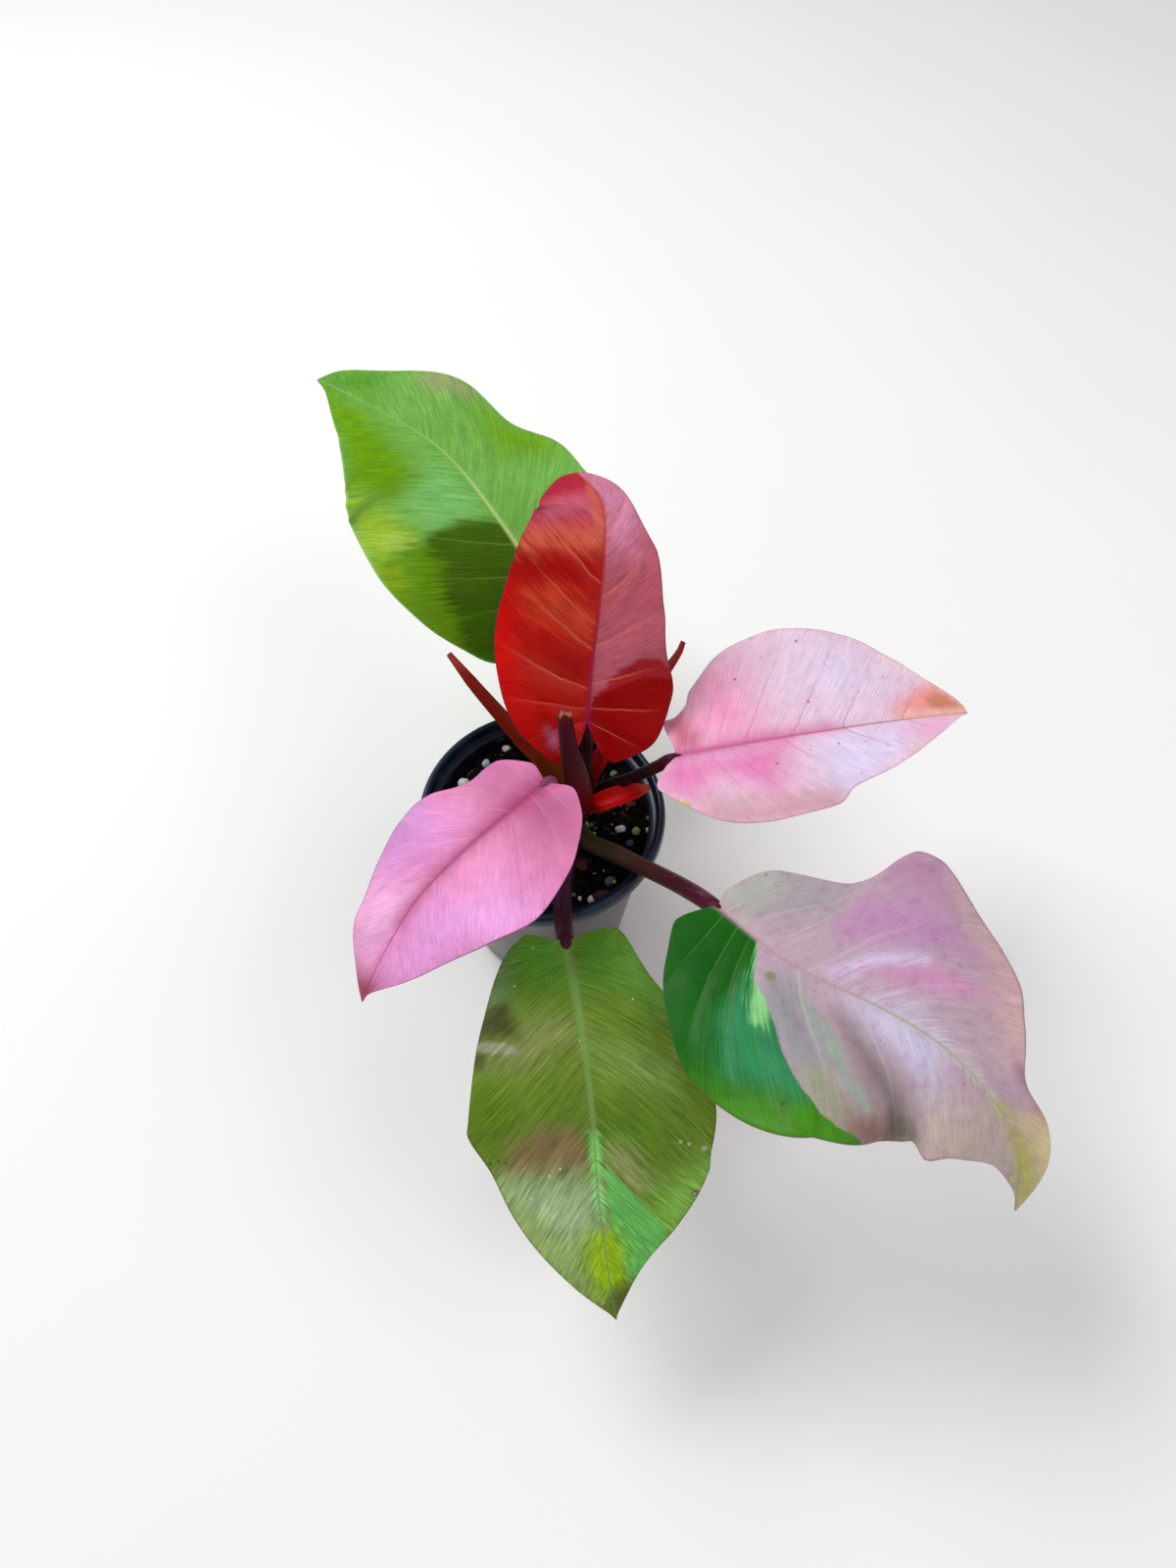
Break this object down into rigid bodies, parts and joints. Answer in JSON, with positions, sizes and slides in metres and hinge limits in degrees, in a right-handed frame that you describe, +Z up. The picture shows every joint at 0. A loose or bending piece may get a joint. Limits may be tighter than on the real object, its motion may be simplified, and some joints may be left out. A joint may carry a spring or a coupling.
{
  "type": "potted philodendron",
  "caption": "Young red, pink and green leaved philodendron in a round plastic nursery pot, resting on its base.",
  "frame": {"origin": "centre of the pot's underside", "axes": "+Z up out of the pot; the front green leaf hangs towards -Y; the pale pink leaf reaches towards +X"},
  "size_m": [0.2911, 0.3978, 0.2132],
  "materials": {
    "pot_plastic": "black plastic with a blue sheen",
    "potting_mix": "loose dark bark and peat mix with perlite",
    "crown_skin": "brown green stem",
    "leaf_back": "satin green",
    "leaf_red": "glossy red",
    "leaf_pink": "pale pink",
    "leaf_lilac": "orchid pink",
    "leaf_front": "olive green",
    "leaf_broad": "green and greyish pink",
    "stalk_dark": "dark maroon stalk",
    "stalk_olive": "olive brown to maroon stalk",
    "sheath_red": "dark red sheath",
    "sheath_brown": "orange brown dry sheath",
    "shoot_green": "bright green shoot"
  },
  "bodies": {
    "root": {"pot": "pot_plastic", "soil": "potting_mix", "crown": "crown_skin", "blade_back": "leaf_back", "blade_red": "leaf_red", "blade_pink": "leaf_pink", "blade_lilac": "leaf_lilac", "blade_front": "leaf_front", "blade_broad": "leaf_broad", "petiole_back": "stalk_dark", "petiole_red": "stalk_dark", "petiole_pink": "stalk_dark", "petiole_lilac": "stalk_dark", "petiole_front": "stalk_dark", "petiole_broad": "stalk_olive", "sheath_stub": "sheath_red", "cataphyll_short": "sheath_red", "cataphyll_left": "sheath_brown", "cataphyll_right": "sheath_brown", "sprout": "shoot_green"}
  },
  "joints": []
}
